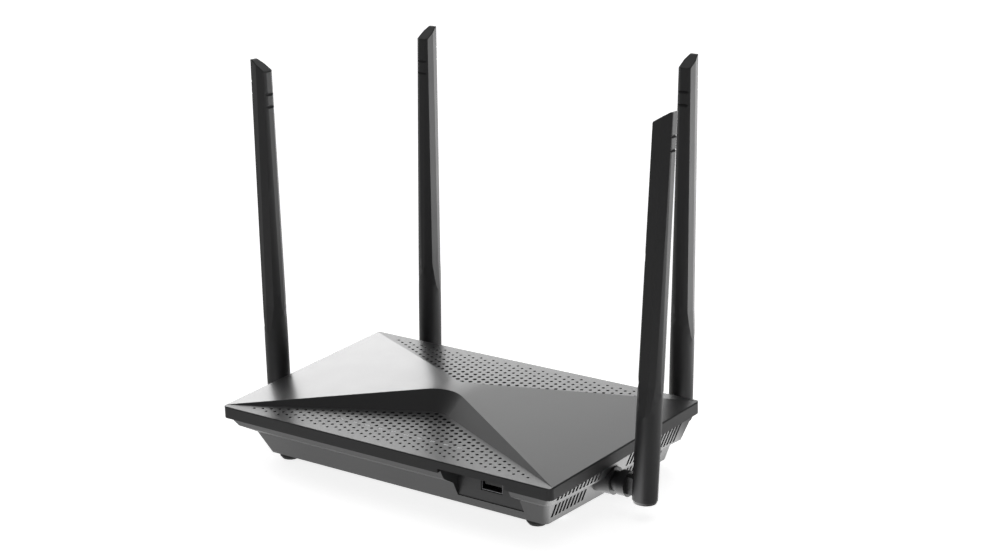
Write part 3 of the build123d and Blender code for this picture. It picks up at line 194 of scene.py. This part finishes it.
def named_socket(sockets, name):
    """A socket by name, or by name and type where several share a name."""
    if isinstance(name, str) and ":" in name:
        label, kind = name.split(":")
        return next(s for s in sockets if s.name == label and s.type == kind)
    return sockets[name]


def set_stops(ramp, stops):
    """Sets a colour ramp's stops from (position, colour) pairs."""
    while len(ramp.elements) < len(stops):
        ramp.elements.new(0.5)
    for element, (position, colour) in zip(ramp.elements, stops):
        element.position = position
        element.color = colour


def grey(level):
    return (level, level, level, 1.0)


# ================================================================ finishes
def moulded_plastic(name, colour, shine, grain=0.00028, depth=0.000010, coat=0.0, specular=0.5):
    """Injection-moulded plastic: a fine spark-eroded grain and faint flow clouds."""
    finish = Finish(name)
    clouds = finish.noise(0.02, detail=3.0)
    grain_height = finish.noise(grain, detail=2.0, roughness=0.7)
    darker = tuple(channel * 0.82 for channel in colour) + (1.0,)
    lighter = tuple(min(1.0, channel * 1.18) for channel in colour) + (1.0,)
    return finish.surface(
        Base_Color=finish.blend(clouds, darker, lighter),
        Roughness=shine - 0.04 + 0.06 * clouds + 0.05 * grain_height,
        Normal=finish.bump(grain_height, depth),
        Specular_IOR_Level=specular,
        # painted shade on upright faces: the coat, and the reflection it adds, only on faces that face up, so upright
        # faces such as the brim reflect less
        Coat_Weight=coat * finish.facing_up() if coat else 0.0,
        Coat_Roughness=0.22,
    )


def soft_rubber(name, colour):
    """Matt rubber with a dusty bloom."""
    finish = Finish(name)
    bloom = finish.noise(0.003, detail=4.0, roughness=0.6)
    pale = tuple(channel * 1.7 for channel in colour) + (1.0,)
    return finish.surface(
        Base_Color=finish.blend(bloom, tuple(colour) + (1.0,), pale),
        Roughness=0.72 + 0.15 * bloom,
        Normal=finish.bump(finish.noise(0.0005), 0.00002),
    )


def sheet_metal(name, colour, shine=0.28, lines=0.0004):
    """Rolled or turned metal with fine lines and a little tarnish."""
    finish = Finish(name)
    streaks = finish.noise(lines, detail=3.0, stretch=(0.06, 1, 1))
    tarnish = finish.noise(0.006, detail=3.0)
    dull = tuple(channel * 0.8 for channel in colour) + (1.0,)
    return finish.surface(
        Base_Color=finish.blend(tarnish, tuple(colour) + (1.0,), dull),
        Metallic=1.0,
        Roughness=shine + 0.12 * streaks + 0.1 * tarnish,
        Normal=finish.bump(streaks, 0.000006),
    )


def printed_board(name, mask, copper):
    """Solder resist over copper lines."""
    finish = Finish(name)
    across = finish.node(
        "ShaderNodeTexBrick", {"offset": 0.5}, Vector=finish.place(), Color1=grey(0.0), Color2=grey(1.0),
        Mortar=grey(0.5), Scale=190.0, out="Color",
    )
    tracks = finish.node("ShaderNodeSeparateColor", None, across, out="Red")
    raised = tracks * finish.noise(0.004, detail=2.0)
    return finish.surface(
        Base_Color=finish.blend(raised, mask, copper),
        Roughness=0.34 + 0.1 * raised,
        Normal=finish.bump(raised, 0.00003),
    )


def lit_window(name, colour):
    """Milky light-guide plastic."""
    finish = Finish(name)
    haze = finish.noise(0.0012, detail=2.0)
    bright = tuple(colour) + (1.0,)
    shaded = tuple(channel * 0.8 for channel in colour) + (1.0,)
    return finish.surface(
        Base_Color=finish.blend(haze, bright, shaded),
        Roughness=0.3 + 0.1 * haze,
        Normal=finish.bump(haze, 0.00001),
    )


def lined_socket(name, colour, tongue):
    """A plated shell around a dark plastic tongue."""
    finish = Finish(name)
    low, high = tongue
    across = finish.within("X", low.x, high.x)
    inwards = finish.within("Y", low.y, high.y)
    upright = finish.within("Z", low.z, high.z)
    shell = 1.0 - across * inwards * upright
    streaks = finish.noise(0.0004, detail=3.0, stretch=(0.06, 1, 1))
    tarnish = finish.noise(0.006, detail=3.0)
    dull = tuple(channel * 0.8 for channel in colour) + (1.0,)
    plating = finish.blend(tarnish, tuple(colour) + (1.0,), dull)
    return finish.surface(
        Base_Color=finish.blend(shell, grey(0.012), plating),
        Metallic=shell,
        Roughness=0.34 + 0.12 * streaks,
        Normal=finish.bump(streaks, 0.000006),
    )


def pinned_inlet(name, colour, middle_x, middle_z, radius):
    """Black plastic around a bright contact pin."""
    finish = Finish(name)
    grain = finish.noise(0.0003)
    across = finish.along("X") - middle_x
    upright = finish.along("Z") - middle_z
    pin = (radius - (across * across + upright * upright) ** 0.5) / SOFT_EDGE
    pin = pin.clamped()
    darker = tuple(channel * 0.7 for channel in colour) + (1.0,)
    return finish.surface(
        Base_Color=finish.blend(pin, finish.blend(grain, darker, tuple(colour) + (1.0,)), grey(0.62)),
        Metallic=pin,
        Roughness=0.42 + 0.06 * grain - 0.12 * pin,
        Normal=finish.bump(grain, 0.00001),
    )


TONGUE_HALF_WIDTH = 5.32 * MM
TONGUE_FROM_FACE = (1.0 * MM, 10.9 * MM)
TONGUE_ABOVE_MIDDLE = (0.03 * MM, 1.97 * MM)
usb_low, usb_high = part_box("usb_socket")
usb_middle = (usb_low + usb_high) / 2
USB_TONGUE = (
    Vector((usb_middle.x - TONGUE_HALF_WIDTH, usb_low.y + TONGUE_FROM_FACE[0], usb_middle.z + TONGUE_ABOVE_MIDDLE[0])),
    Vector((usb_middle.x + TONGUE_HALF_WIDTH, usb_low.y + TONGUE_FROM_FACE[1], usb_middle.z + TONGUE_ABOVE_MIDDLE[1])),
)
inlet_low, inlet_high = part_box("power_inlet")
inlet_middle = (inlet_low + inlet_high) / 2
INLET_PIN_RADIUS = 1.1 * MM

FINISHES = {
    "cover_plastic": moulded_plastic("cover_plastic", (0.016, 0.016, 0.017), 0.34, coat=0.45),
    "case_plastic": moulded_plastic("case_plastic", (0.028, 0.028, 0.029), 0.42, depth=0.000014, specular=0.62),
    "antenna_plastic": moulded_plastic("antenna_plastic", (0.017, 0.017, 0.018), 0.45, depth=0.000012),
    "swivel_plastic": moulded_plastic("swivel_plastic", (0.015, 0.015, 0.016), 0.4),
    "foot_rubber": soft_rubber("foot_rubber", (0.02, 0.02, 0.02)),
    "screw_steel": sheet_metal("screw_steel", (0.55, 0.56, 0.58)),
    "pin_steel": sheet_metal("pin_steel", (0.6, 0.6, 0.6), shine=0.22),
    "circuit_board": printed_board("circuit_board", (0.01, 0.09, 0.04, 1.0), (0.04, 0.2, 0.08, 1.0)),
    "chip_plastic": moulded_plastic("chip_plastic", (0.02, 0.02, 0.021), 0.55),
    "heat_sink_metal": sheet_metal("heat_sink_metal", (0.75, 0.76, 0.78), shine=0.35),
    "transformer_plastic": moulded_plastic("transformer_plastic", (0.025, 0.025, 0.026), 0.5),
    "capacitor_can": sheet_metal("capacitor_can", (0.62, 0.63, 0.66), shine=0.25),
    "shield_metal": sheet_metal("shield_metal", (0.7, 0.7, 0.68), shine=0.3),
    "led_plastic": lit_window("led_plastic", (0.85, 0.8, 0.55)),
    "light_guide_plastic": lit_window("light_guide_plastic", (0.62, 0.63, 0.64)),
    "wan_plastic": moulded_plastic("wan_plastic", (0.02, 0.09, 0.36), 0.4),
    "lan_plastic": moulded_plastic("lan_plastic", (0.62, 0.33, 0.02), 0.4),
    "inlet_plastic": pinned_inlet(
        "inlet_plastic", (0.02, 0.02, 0.02), inlet_middle.x, inlet_middle.z, INLET_PIN_RADIUS
    ),
    "switch_plastic": moulded_plastic("switch_plastic", (0.03, 0.03, 0.03), 0.45),
    "button_plastic": moulded_plastic("button_plastic", (0.03, 0.03, 0.031), 0.4),
    "usb_metal": lined_socket("usb_metal", (0.26, 0.26, 0.27), USB_TONGUE),
    "radiator_strip": moulded_plastic("radiator_strip", (0.2, 0.09, 0.03), 0.4),
}

for part in frame["record"]["subparts"]:
    mesh = nodes[part["node"]].data
    mesh.materials.clear()
    mesh.materials.append(FINISHES[part["material_slot"]])


# ================================================================ moulded shells
HOLE_SIDES = 14
HOLE_SHARE = 0.93
RIM_EASE = 0.18 * MM
ON_PLANE = 0.005 * MM
SQUARE_PLAY = 0.05
UPRIGHT_WALL = 0.05
LEVEL_WALL = 0.02
WELD_DISTANCE = 0.001 * MM
FLAT_TOLERANCE = 1e-5
SLOT_WIDTH = 1.5 * MM
SLOT_WIDENING = 0.27 * MM
SLOT_WALLS_FROM = 88 * MM
SLOT_PLAY = 0.1 * MM
SIDE_FACING = 0.85
COPLANAR = math.cos(math.radians(2.0))


def plate_planes(mesh):
    """The perforated plate's upward normal, and how far along it its two faces lie."""
    areas = {}
    for face in mesh.polygons:
        key = tuple(round(part, 2) for part in face.normal) + (round(face.normal.dot(face.center) / MM, 1),)
        total, _ = areas.get(key, (0.0, face))
        areas[key] = (total + face.area, face)
    upper = max((entry for key, entry in areas.items() if key[2] > 0), key=lambda entry: entry[0])[1]
    lower = max((entry for key, entry in areas.items() if key[2] < 0), key=lambda entry: entry[0])[1]
    return upper.normal.copy(), upper.normal.dot(upper.center), -lower.normal.dot(lower.center)


def joined_groups(faces, joins=lambda face, other: True):
    """Faces gathered into groups that share edges."""
    waiting, groups = set(faces), []
    for first in faces:
        if first not in waiting:
            continue
        waiting.remove(first)
        group = [first]
        for face in group:
            for edge in face.edges:
                for other in edge.link_faces:
                    if other in waiting and joins(face, other):
                        waiting.remove(other)
                        group.append(other)
        groups.append(group)
    return groups


def square_hole(walls, is_top):
    """The centre and the reach of a hole with four equal walls, or None for any other opening."""
    edges = [edge for face in walls for edge in face.edges if all(is_top(vertex) for vertex in edge.verts)]
    corners = list(dict.fromkeys(vertex for edge in edges for vertex in edge.verts))
    lengths = [edge.calc_length() for edge in edges]
    if len(edges) != 4 or len(corners) != 4 or max(lengths) > min(lengths) * (1 + SQUARE_PLAY):
        return None
    centre = sum((vertex.co for vertex in corners), Vector()) / 4
    return centre, lengths[0] / math.sqrt(2)


def triangle_sides(triangle):
    return [frozenset((triangle[place - 1], triangle[place])) for place in range(3)]


def fill_between(build, borders, normal, layer):
    """Covers a flat region inside closed borders, less the holes in it."""
    across = normal.orthogonal().normalized()
    along = normal.cross(across)
    corners = list(dict.fromkeys(vertex for edge in borders for vertex in edge.verts))
    number = {vertex: place for place, vertex in enumerate(corners)}
    flat = [Vector((vertex.co.dot(across) / MM, vertex.co.dot(along) / MM)) for vertex in corners]
    fences = [tuple(number[vertex] for vertex in edge.verts) for edge in borders]
    _, _, triangles, origins, _, _ = delaunay_2d_cdt(flat, fences, [], 0, FLAT_TOLERANCE)
    triangles = [tuple(origins[place][0] for place in triangle) for triangle in triangles]
    fences = {frozenset(fence) for fence in fences}
    sides = {}
    for triangle in triangles:
        for side in triangle_sides(triangle):
            sides.setdefault(side, []).append(triangle)
    # from the outer sides inwards, each border that is crossed turns outside into inside and back
    inside = {pair[0]: side in fences for side, pair in sides.items() if len(pair) == 1}
    reached = list(inside)
    for triangle in reached:
        for side in triangle_sides(triangle):
            for other in sides[side]:
                if other not in inside:
                    inside[other] = inside[triangle] != (side in fences)
                    reached.append(other)
    for triangle in reached:
        if inside[triangle]:
            face = build.faces.new([corners[place] for place in triangle])
            for loop in face.loops:
                loop[layer] = normal


def opened_shell(source, name):
    """A welded copy of a shell, ready for editing, that keeps the shading of its faces."""
    mesh = source.data.copy()
    mesh.name = name
    kept = mesh.attributes.new("cad_normal", "FLOAT_VECTOR", "CORNER")
    kept.data.foreach_set("vector", [part for corner in mesh.corner_normals for part in corner.vector])
    build = bmesh.new()
    build.from_mesh(mesh)
    bmesh.ops.remove_doubles(build, verts=build.verts, dist=WELD_DISTANCE)
    return mesh, build, build.loops.layers.float_vector["cad_normal"]


def closed_shell(mesh, build, source):
    """Puts the edited copy in the place of its source."""
    bmesh.ops.recalc_face_normals(build, faces=build.faces)
    build.to_mesh(mesh)
    build.free()
    normals = [tuple(corner.vector) for corner in mesh.attributes["cad_normal"].data]
    mesh.attributes.remove(mesh.attributes["cad_normal"])
    mesh.normals_split_custom_set(normals)
    shell = bpy.data.objects.new(mesh.name, mesh)
    bpy.context.scene.collection.objects.link(shell)
    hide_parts(source.name)
    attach(shell, source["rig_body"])
    return shell


def perforated_cover(source):
    """The cover with its perforation drilled round, with an eased rim."""
    mesh, build, layer = opened_shell(source, "perforated_cover")
    normal, top, under = plate_planes(mesh)

    def is_top(vertex):
        return abs(vertex.co.dot(normal) - top) < ON_PLANE

    def is_under(vertex):
        return abs(vertex.co.dot(normal) - under) < ON_PLANE

    plate = [
        face for face in build.faces
        if all(is_top(vertex) for vertex in face.verts) or all(is_under(vertex) for vertex in face.verts)
    ]
    walls = [
        face for face in build.faces
        if abs(face.normal.dot(normal)) < UPRIGHT_WALL
        and all(is_top(vertex) or is_under(vertex) for vertex in face.verts)
    ]
    holes, drilled = [], []
    for group in joined_groups(walls):
        found = square_hole(group, is_top)
        if found:
            holes.append(found)
            drilled += group
    bmesh.ops.delete(build, geom=plate + drilled, context="FACES")

    across = normal.orthogonal().normalized()
    along = normal.cross(across)
    turns = [math.tau * step / HOLE_SIDES for step in range(HOLE_SIDES)]
    for centre, reach in holes:
        radius = reach * HOLE_SHARE
        axis = centre - normal * centre.dot(normal)
        rings = [
            [
                build.verts.new(axis + normal * level + (across * math.cos(turn) + along * math.sin(turn)) * size)
                for turn in turns
            ]
            for level, size in ((top, radius + RIM_EASE), (top - RIM_EASE, radius), (under, radius))
        ]
        for above, below in zip(rings, rings[1:]):
            for step in range(HOLE_SIDES):
                ahead = (step + 1) % HOLE_SIDES
                face = build.faces.new((above[ahead], below[ahead], below[step], above[step]))
                face.normal_update()
                for loop in face.loops:
                    loop[layer] = face.normal
    for is_there, facing in ((is_top, normal), (is_under, -normal)):
        borders = [
            edge for edge in build.edges
            if len(edge.link_faces) == 1 and all(is_there(vertex) for vertex in edge.verts)
        ]
        fill_between(build, borders, facing, layer)
    return closed_shell(mesh, build, source)


def outer_corners(slot, walls):
    """The corners of a slot that lie on the outer face of its wall, found by that face's direction."""
    corners = list(dict.fromkeys(vertex for face in slot for vertex in face.verts))
    outermost = max(corners, key=lambda vertex: abs(vertex.co.x))
    beside = [face.normal for face in outermost.link_faces if face not in walls]
    facing = max(beside, key=lambda normal: normal.x * outermost.co.x)
    reach = outermost.co.dot(facing)
    return [vertex for vertex in corners if abs(vertex.co.dot(facing) - reach) < SLOT_PLAY]


def louvred_case(source):
    """The case with its side slots opened outwards until they are as wide as the bars between them."""
    mesh, build, layer = opened_shell(source, "louvred_case")
    level_walls = [
        face for face in build.faces
        if abs(face.normal.x) < LEVEL_WALL and abs(face.calc_center_median().x) > SLOT_WALLS_FROM
    ]
    slots = []
    for group in joined_groups(level_walls):
        reach = [vertex.co.y for face in group for vertex in face.verts]
        if abs(max(reach) - min(reach) - SLOT_WIDTH) < ON_PLANE:
            slots.append((group, (max(reach) + min(reach)) / 2))
    walls = {face for group, _ in slots for face in group}
    opened = set()
    for group, middle in slots:
        for vertex in outer_corners(group, walls):
            vertex.co.y += math.copysign(SLOT_WIDENING, vertex.co.y - middle)
            opened.add(vertex)
    build.normal_update()
    for face in build.faces:
        if face in walls:
            for loop in face.loops:
                loop[layer] = face.normal
    sides = [
        face for face in build.faces
        if face not in walls and abs(face.normal.x) > SIDE_FACING and face.normal.x * face.verts[0].co.x > 0
    ]
    for region in joined_groups(sides, lambda face, other: face.normal.dot(other.normal) > COPLANAR):
        if any(vertex in opened for face in region for vertex in face.verts):
            uses = Counter(edge for face in region for edge in face.edges)
            borders = [edge for edge, count in uses.items() if count == 1]
            facing = sum((face.normal * face.calc_area() for face in region), Vector()).normalized()
            bmesh.ops.delete(build, geom=region, context="FACES_ONLY")
            fill_between(build, borders, facing, layer)
    spare = [edge for edge in build.edges if not edge.link_faces]
    bmesh.ops.delete(build, geom=spare, context="EDGES")
    return closed_shell(mesh, build, source)


perforated_cover(nodes["top_cover"])
louvred_case(nodes["bottom_case"])


# ================================================================ jack contacts
LAN_PORTS = 4
LAN_PITCH = 14.0 * MM
MOUTH_TOP = 11.2 * MM
WIRE_PITCH = 1.02 * MM
WIRE_WIDTH = 0.46 * MM
WIRE_THICKNESS = 0.3 * MM
WIRE_COUNT = 8
WIRE_EASE = 0.05 * MM
BEND_EDGE = 1.2
# from the jack's face inwards, and down from the roof of its mouth
WIRE_PATH = [(2.0, -0.15), (2.35, 0.55), (3.0, 0.95), (9.2, 3.7), (10.4, 4.1), (12.7, 4.25)]


def jack_contacts(name, centres, face, roof):
    """The eight sprung wires in the mouth of each network jack."""
    path = [Vector((0, face - inwards * MM, roof - down * MM)) for inwards, down in WIRE_PATH]
    build = bmesh.new()
    for centre in centres:
        for wire in range(WIRE_COUNT):
            across = centre + (wire - (WIRE_COUNT - 1) / 2) * WIRE_PITCH
            rings = []
            for place, point in enumerate(path):
                ahead = path[min(place + 1, len(path) - 1)] - path[max(place - 1, 0)]
                up = Vector((1, 0, 0)).cross(ahead).normalized() * WIRE_THICKNESS / 2
                rings.append([
                    build.verts.new(Vector((across + side * WIRE_WIDTH / 2, point.y, point.z)) + up * level)
                    for side, level in ((-1, -1), (1, -1), (1, 1), (-1, 1))
                ])
            for ring, following in zip(rings, rings[1:]):
                for place in range(4):
                    build.faces.new((ring[place - 1], ring[place], following[place], following[place - 1]))
            build.faces.new(rings[0][::-1])
            build.faces.new(rings[-1])
    bmesh.ops.recalc_face_normals(build, faces=build.faces)
    edges = [edge for edge in build.edges if len(edge.link_faces) == 2 and edge.calc_face_angle() > BEND_EDGE]
    bmesh.ops.bevel(build, geom=edges, offset=WIRE_EASE, segments=1, affect="EDGES")
    mesh = bpy.data.meshes.new(name)
    build.to_mesh(mesh)
    build.free()
    mesh.materials.append(CONTACT_GOLD)
    wires = bpy.data.objects.new(name, mesh)
    bpy.context.scene.collection.objects.link(wires)
    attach(wires, nodes["lan_jacks"]["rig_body"])
    return wires


CONTACT_GOLD = sheet_metal("contact_gold", (0.83, 0.58, 0.2), shine=0.22)
for jack, name, ports in (("lan_jacks", "lan_contacts", LAN_PORTS), ("wan_jack", "wan_contacts", 1)):
    jack_low, jack_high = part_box(jack)
    middle = (jack_low.x + jack_high.x) / 2
    centres = [middle + (port - (ports - 1) / 2) * LAN_PITCH for port in range(ports)]
    jack_contacts(name, centres, jack_high.y, jack_low.z + MOUTH_TOP)


# ================================================================ studio
CAMERA_PLACE = (0.6211, -0.8478, 0.3930)
CAMERA_HEADING = math.radians(35.39)
CAMERA_DOWN = math.radians(15.48)
CAMERA_LENS = 72.8
# most floor numbers below shape a painted reflection: a glow that only glossy rays see, rising from front to back,
# with a painted pool of light around the router that is brighter at its right; FLOOR_WHITE and FLOOR_SIZE are the
# plain white table
FLOOR_TURN = (0.45, 0.89)
FLOOR_NEAR = -0.5
FLOOR_FAR = 0.5
PAINTED_GLOW_STRENGTH = 4.0
FLOOR_WHITE = 0.8
FLOOR_SIZE = 6.0
FLOOR_TONES = [(0.0, grey(0.04)), (0.45, grey(0.08)), (0.72, grey(0.12)), (0.85, grey(0.7)), (1.0, grey(0.8))]
POOL_REACH = (0.122, 0.085)
POOL_MIDDLE = -0.013
POOL_FLANK = 0.088
POOL_TONES = (0.27, 0.95)
POOL_EDGE = 100.0
FLANK_EDGE = 60.0
WORLD_STRENGTH = 4.1
WORLD_BRIGHTEST = (-0.75, 0.60, -0.28)
WORLD_TONES = [(0.0, grey(0.05)), (0.5, grey(0.12)), (0.68, grey(0.4)), (0.77, grey(0.6)), (0.88, grey(1.0))]

camera_data = bpy.data.cameras.new("camera")
camera_data.lens = CAMERA_LENS
camera_data.sensor_width = 36.0
camera_data.clip_start = 0.05
camera = bpy.data.objects.new("camera", camera_data)
camera.location = CAMERA_PLACE
camera.rotation_euler = (math.pi / 2 - CAMERA_DOWN, 0.0, CAMERA_HEADING)
bpy.context.scene.collection.objects.link(camera)
bpy.context.scene.camera = camera


def soft_box(name, place, aim, width, height, power):
    """A rectangular studio lamp that points at `aim`."""
    data = bpy.data.lights.new(name, "AREA")
    data.shape = "RECTANGLE"
    data.size = width
    data.size_y = height
    data.energy = power
    lamp = bpy.data.objects.new(name, data)
    lamp.location = place
    lamp.rotation_euler = (Vector(aim) - Vector(place)).to_track_quat("-Z", "Y").to_euler()
    bpy.context.scene.collection.objects.link(lamp)
    return lamp


soft_box("top_light", (0.3, 0.3, 2.2), (0, 0, 0), 1.6, 1.6, 6.0)
soft_box("front_fill", (1.4, -1.8, 1.0), (0, 0, 0.05), 1.2, 1.2, 2.0)


def studio_floor():
    """A white table with faint shadows; for glossy rays it glows with a painted reflection, brighter at the back than
    in front, with a painted pool of light around the router that is brighter at its right.
    """
    finish = Finish("studio_floor")
    by_camera = finish.node("ShaderNodeLightPath", None, out="Is Camera Ray")
    by_gloss = finish.node("ShaderNodeLightPath", None, out="Is Glossy Ray")
    speckle = finish.noise(0.002)
    paint = finish.node(
        "ShaderNodeBsdfDiffuse", None, Color=finish.blend(speckle, grey(0.78), grey(0.8)), out="BSDF"
    )
    white = finish.node("ShaderNodeEmission", None, Color=grey(1.0), Strength=FLOOR_WHITE, out="Emission")
    # painted reflection: the floor glows only for glossy rays, by a front-to-back gradient and a painted pool of light
    # round the router, brighter at its right flank
    right, back = finish.along("X"), finish.along("Y")
    away = right * FLOOR_TURN[0] + back * FLOOR_TURN[1]
    depth = finish.node("ShaderNodeMapRange", {"clamp": True}, away, FLOOR_NEAR, FLOOR_FAR, 0.0, 1.0, out="Result")
    painted_floor_gradient = finish.node("ShaderNodeValToRGB", {"stops": FLOOR_TONES}, depth, out="Color")
    beyond = (right.size() - POOL_REACH[0]).larger((back - POOL_MIDDLE).size() - POOL_REACH[1])
    painted_light_pool = (1.0 - beyond * POOL_EDGE).clamped()
    painted_right_band = ((right - POOL_FLANK) * FLANK_EDGE).clamped()
    painted_pool_tone = finish.blend(painted_right_band, grey(POOL_TONES[0]), grey(POOL_TONES[1]))
    tone = finish.blend(painted_light_pool, painted_floor_gradient, painted_pool_tone)
    painted_reflection_glow = finish.node("ShaderNodeEmission", None, Color=tone, Strength=PAINTED_GLOW_STRENGTH, out="Emission")
    glow = finish.node("ShaderNodeMixShader", None, by_camera, painted_reflection_glow, white)
    both = finish.node("ShaderNodeAddShader", None, paint, glow)
    mixed = finish.node("ShaderNodeMixShader", None, (by_camera + by_gloss).clamped(), paint, both)
    finish.tree.links.new(mixed.socket, finish.output.inputs["Surface"])
    mesh = bpy.data.meshes.new("studio_floor")
    corners = [(x * FLOOR_SIZE, y * FLOOR_SIZE, 0) for x, y in ((-1, -1), (1, -1), (1, 1), (-1, 1))]
    mesh.from_pydata(corners, [], [(0, 1, 2, 3)])
    mesh.materials.append(finish.material)
    floor = bpy.data.objects.new("studio_floor", mesh)
    bpy.context.scene.collection.objects.link(floor)


def studio_world():
    """White behind the router; as a light, brightest low down at the back left."""
    world = bpy.data.worlds.new("studio_world")
    world.use_nodes = True
    tree = world.node_tree
    tree.nodes.clear()
    output = tree.nodes.new("ShaderNodeOutputWorld")
    white = tree.nodes.new("ShaderNodeBackground")
    white.inputs["Color"].default_value = grey(1.0)
    room = tree.nodes.new("ShaderNodeBackground")
    room.inputs["Strength"].default_value = WORLD_STRENGTH
    place = tree.nodes.new("ShaderNodeTexCoord")
    towards = tree.nodes.new("ShaderNodeVectorMath")
    towards.operation = "DOT_PRODUCT"
    towards.inputs[1].default_value = WORLD_BRIGHTEST
    ramp = tree.nodes.new("ShaderNodeValToRGB")
    set_stops(ramp.color_ramp, WORLD_TONES)
    tree.links.new(place.outputs["Generated"], towards.inputs[0])
    tree.links.new(towards.outputs["Value"], ramp.inputs[0])
    tree.links.new(ramp.outputs[0], room.inputs["Color"])
    path = tree.nodes.new("ShaderNodeLightPath")
    mix = tree.nodes.new("ShaderNodeMixShader")
    tree.links.new(path.outputs["Is Camera Ray"], mix.inputs[0])
    tree.links.new(room.outputs[0], mix.inputs[1])
    tree.links.new(white.outputs[0], mix.inputs[2])
    tree.links.new(mix.outputs[0], output.inputs["Surface"])
    bpy.context.scene.world = world


studio_floor()
studio_world()
bpy.context.scene.view_settings.view_transform = "Standard"
